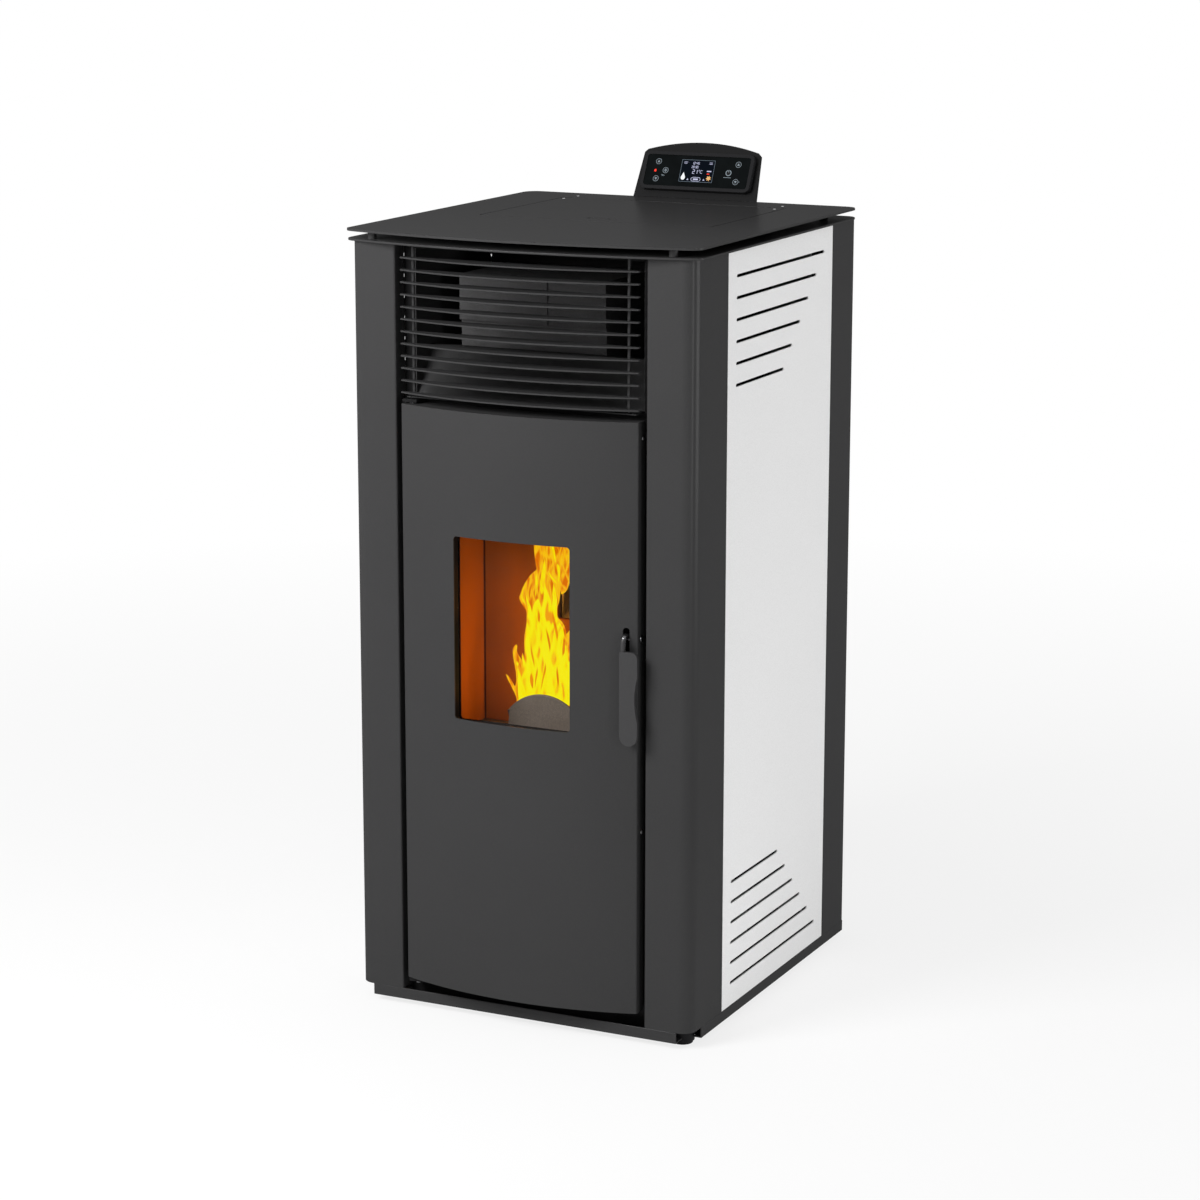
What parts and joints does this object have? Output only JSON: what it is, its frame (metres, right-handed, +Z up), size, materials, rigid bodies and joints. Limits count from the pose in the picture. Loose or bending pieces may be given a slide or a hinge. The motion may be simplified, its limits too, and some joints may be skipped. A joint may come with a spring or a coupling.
{
  "type": "pellet stove",
  "caption": "Free-standing pellet stove with curved fire door, slatted warm-air grille, hopper lid and tilted control panel.",
  "frame": {"origin": "on the floor under the middle of the whole outline, flue stub and bowed top plate included", "axes": "+Z up, the door and grille face -Y, the handle is on the +X side of the door"},
  "size_m": [0.535, 0.653, 1.1877],
  "materials": {
    "charcoal_paint": "satin charcoal powder coat",
    "white_paint": "smooth white powder coat",
    "black_paint": "matt black heat-proof paint",
    "bright_steel": "plain steel, lightly brushed",
    "zinc_sheet": "zinc-coated sheet",
    "cast_iron": "rough cast iron and heavy steel plate",
    "lining_board": "pressed fireproof lining board",
    "black_plastic": "fine-textured black plastic",
    "display_glass": "glossy black display window",
    "fire_glass": "clear heat-proof glass",
    "gasket_rope": "braided glass-fibre rope",
    "circuit_board": "green circuit board"
  },
  "bodies": {
    "root": {"base_tray": "charcoal_paint", "foot_front_left": "black_plastic", "foot_front_right": "black_plastic", "foot_rear_left": "black_plastic", "foot_rear_right": "black_plastic", "post_front_left": "charcoal_paint", "post_front_right": "charcoal_paint", "post_rear_left": "charcoal_paint", "post_rear_right": "charcoal_paint", "side_panel_left": "white_paint", "side_panel_right": "white_paint", "back_panel": "zinc_sheet", "front_frame": "black_paint", "lower_top_plate": "charcoal_paint", "upper_top_plate": "charcoal_paint", "control_bracket": "black_paint", "display_housing": "black_plastic", "display_glass": "display_glass", "front_grille": "charcoal_paint", "grille_shelf": "charcoal_paint", "firebox_shell": "cast_iron", "back_liner": "lining_board", "side_liner_left": "lining_board", "side_liner_right": "lining_board", "flame_baffle": "cast_iron", "burn_pot": "cast_iron", "pot_shield": "cast_iron", "ash_pan": "zinc_sheet", "igniter": "bright_steel", "exchanger_box": "cast_iron", "smoke_duct": "zinc_sheet", "exhaust_housing": "bright_steel", "exhaust_motor": "black_paint", "air_intake_pipe": "zinc_sheet", "hopper": "zinc_sheet", "auger_tube": "zinc_sheet", "auger_motor": "black_paint", "blower_housing": "zinc_sheet", "control_board": "circuit_board", "power_inlet": "black_plastic", "hinge_pin_bottom": "bright_steel", "hinge_pin_top": "bright_steel"},
    "door": {"door_cladding": "charcoal_paint", "door_frame": "black_paint", "door_glass": "fire_glass", "glass_retainer": "black_paint", "door_gasket": "gasket_rope", "handle_pin": "bright_steel"},
    "handle": {"door_handle": "bright_steel"},
    "lid": {"hopper_lid": "charcoal_paint"},
    "auger": {"auger_screw": "bright_steel"},
    "impeller": {"exhaust_impeller": "bright_steel"},
    "blower": {"blower_drum": "bright_steel"},
    "rocker": {"rocker_switch": "black_plastic"},
    "key_left_up_cap": {"key_left_up": "black_plastic"},
    "key_menu_cap": {"key_menu": "black_plastic"},
    "key_left_down_cap": {"key_left_down": "black_plastic"},
    "key_right_up_cap": {"key_right_up": "black_plastic"},
    "key_power_cap": {"key_power": "black_plastic"},
    "key_right_down_cap": {"key_right_down": "black_plastic"}
  },
  "joints": [
    {"name": "door_hinge", "type": "hinge", "parent": "root", "child": "door", "pos_m": [-0.168, -0.282, 0.458], "axis": [0, 0, -1], "range_deg": [0, 100]},
    {"name": "handle_turn", "type": "hinge", "parent": "door", "child": "handle", "pos_m": [0.165, -0.283, 0.5755], "axis": [-1, 0, 0], "range_deg": [0, 25]},
    {"name": "lid_hinge", "type": "hinge", "parent": "root", "child": "lid", "pos_m": [0, 0.21, 1.1068], "axis": [-1, 0, 0], "range_deg": [0, 80]},
    {"name": "auger_turn", "type": "hinge", "parent": "root", "child": "auger", "pos_m": [0, 0.182, 0.52], "axis": [0, -0.9063, 0.4226], "continuous": true},
    {"name": "impeller_spin", "type": "hinge", "parent": "root", "child": "impeller", "pos_m": [0.1303, 0.096, 0.15], "axis": [1, 0, 0], "continuous": true},
    {"name": "blower_spin", "type": "hinge", "parent": "root", "child": "blower", "pos_m": [-0.096, 0.15, 0.061], "axis": [1, 0, 0], "continuous": true},
    {"name": "rocker_tilt", "type": "hinge", "parent": "root", "child": "rocker", "pos_m": [-0.15, 0.2832, 0.12], "axis": [-1, 0, 0], "range_deg": [0, 16]},
    {"name": "key_left_up_press", "type": "slide", "parent": "root", "child": "key_left_up_cap", "axis": [0, 0.9026, -0.4305], "range_m": [0, 0.001], "stiffness_N_per_m": 150},
    {"name": "key_menu_press", "type": "slide", "parent": "root", "child": "key_menu_cap", "axis": [0, 0.9026, -0.4305], "range_m": [0, 0.001], "stiffness_N_per_m": 150},
    {"name": "key_left_down_press", "type": "slide", "parent": "root", "child": "key_left_down_cap", "axis": [0, 0.9026, -0.4305], "range_m": [0, 0.001], "stiffness_N_per_m": 150},
    {"name": "key_right_up_press", "type": "slide", "parent": "root", "child": "key_right_up_cap", "axis": [0, 0.9026, -0.4305], "range_m": [0, 0.001], "stiffness_N_per_m": 150},
    {"name": "key_power_press", "type": "slide", "parent": "root", "child": "key_power_cap", "axis": [0, 0.9026, -0.4305], "range_m": [0, 0.001], "stiffness_N_per_m": 150},
    {"name": "key_right_down_press", "type": "slide", "parent": "root", "child": "key_right_down_cap", "axis": [0, 0.9026, -0.4305], "range_m": [0, 0.001], "stiffness_N_per_m": 150}
  ]
}
